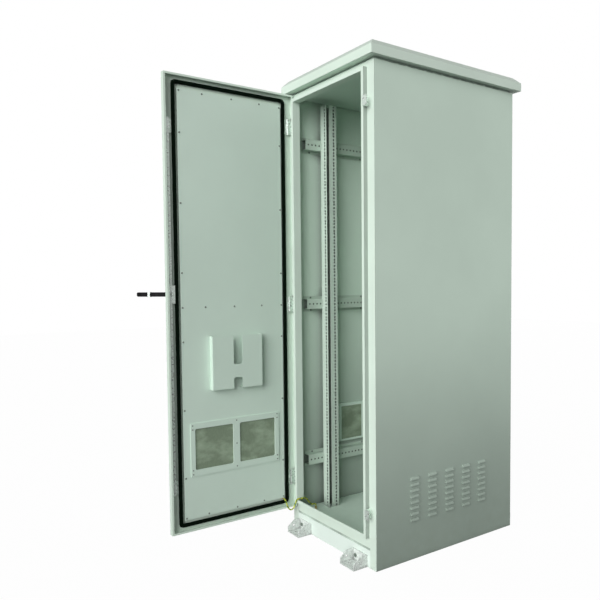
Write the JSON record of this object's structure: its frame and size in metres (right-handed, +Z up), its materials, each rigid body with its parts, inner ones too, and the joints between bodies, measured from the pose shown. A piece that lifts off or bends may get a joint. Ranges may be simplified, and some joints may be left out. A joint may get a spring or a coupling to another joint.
{
  "type": "telecom cabinet",
  "caption": "Tall floor-standing steel equipment cabinet with perforated uprights, a raised overhanging roof and a gasketed side-hinged door with a swing-handle rod lock and a document pocket.",
  "frame": {"origin": "centre of the plinth's footprint at ground level, which is the centre of the anchor bolt pattern", "axes": "+Z up, -Y towards the front with the door opening, +X to the right as seen from the front; the hinges are on -X"},
  "size_m": [0.7497, 1.5466, 2.034],
  "materials": {
    "body_paint": "powder-coated, slightly textured, light mint grey",
    "panel_paint": "powder-coated, slightly textured",
    "inner_paint": "powder-coated, smooth",
    "rail_paint": "powder-coated, satin",
    "plated_steel": "zinc-plated",
    "dark_steel": "blackened",
    "black_rubber": "matt foam and moulded rubber",
    "grey_strip": "grey sealing strip, matt",
    "handle_black": "die-cast, satin black coating",
    "filter_fleece": "fibrous filter mat",
    "brass_stud": "turned brass",
    "cable_sheath": "yellow sheath with a green stripe"
  },
  "bodies": {
    "cabinet": {"base_plinth": "body_paint", "sill_strip": "grey_strip", "floor_plate": "inner_paint", "gland_plate": "plated_steel", "cable_grommets": "black_rubber", "front_frame": "body_paint", "left_side_panel": "panel_paint", "right_side_panel": "panel_paint", "rear_panel": "panel_paint", "top_plate": "inner_paint", "roof_cap": "body_paint", "side_filter_frame": "inner_paint", "side_filter_mat": "filter_fleece", "anchor_lugs": "rail_paint", "anchor_lug_bolts": "plated_steel", "depth_rails_left": "rail_paint", "depth_rails_right": "rail_paint", "depth_rail_screws": "dark_steel", "upright_front_left": "rail_paint", "upright_front_right": "rail_paint", "upright_rear_left": "rail_paint", "upright_rear_right": "rail_paint", "rod_keepers": "plated_steel", "hinge_frame_leaf_top": "plated_steel", "hinge_frame_leaf_middle": "plated_steel", "hinge_frame_leaf_low": "plated_steel", "hinge_pins": "plated_steel", "earth_stud_frame": "brass_stud", "rear_panel_screws": "plated_steel", "roof_bolts": "plated_steel", "earth_cable": "cable_sheath"},
    "door": {"door_shell": "body_paint", "door_inner_panel": "inner_paint", "door_gasket": "black_rubber", "door_filter_frame": "inner_paint", "door_filter_mats": "filter_fleece", "document_pocket": "inner_paint", "door_screws": "dark_steel", "filter_screws": "dark_steel", "hinge_door_leaf_top": "plated_steel", "hinge_door_leaf_middle": "plated_steel", "hinge_door_leaf_low": "plated_steel", "lock_case": "plated_steel", "rod_guide_upper": "plated_steel", "rod_guide_lower": "plated_steel", "handle_escutcheon": "handle_black", "earth_stud_door": "brass_stud"},
    "lock": {"lock_cam": "plated_steel", "handle_hub": "handle_black", "handle_pin": "plated_steel"},
    "handle": {"swing_handle": "handle_black", "handle_collar": "plated_steel"},
    "upper_rod": {"upper_rod": "plated_steel"},
    "lower_rod": {"lower_rod": "plated_steel"}
  },
  "joints": [
    {"name": "door_hinge", "type": "hinge", "parent": "cabinet", "child": "door", "pos_m": [-0.28, -0.4265, 1.03], "axis": [0, 0, 1], "range_deg": [-6, 90], "deforming": ["earth_cable"]},
    {"name": "lock_turn", "type": "hinge", "parent": "door", "child": "lock", "pos_m": [-0.28, -0.9865, 1.085], "axis": [1, 0, 0], "range_deg": [0, 90]},
    {"name": "handle_lift", "type": "hinge", "parent": "lock", "child": "handle", "pos_m": [-0.3025, -0.9865, 1.085], "axis": [0, 0, 1], "range_deg": [-5, 55]},
    {"name": "upper_rod_slide", "type": "slide", "parent": "door", "child": "upper_rod", "axis": [0, 0, 1], "range_m": [0, 0.01414]},
    {"name": "lower_rod_slide", "type": "slide", "parent": "door", "child": "lower_rod", "axis": [0, 0, -1], "range_m": [0, 0.01414]}
  ],
  "couplings": [
    {"joint": "upper_rod_slide", "follows": "lock_turn", "m_per_rad": 0.0090032},
    {"joint": "lower_rod_slide", "follows": "lock_turn", "m_per_rad": 0.0090032}
  ]
}
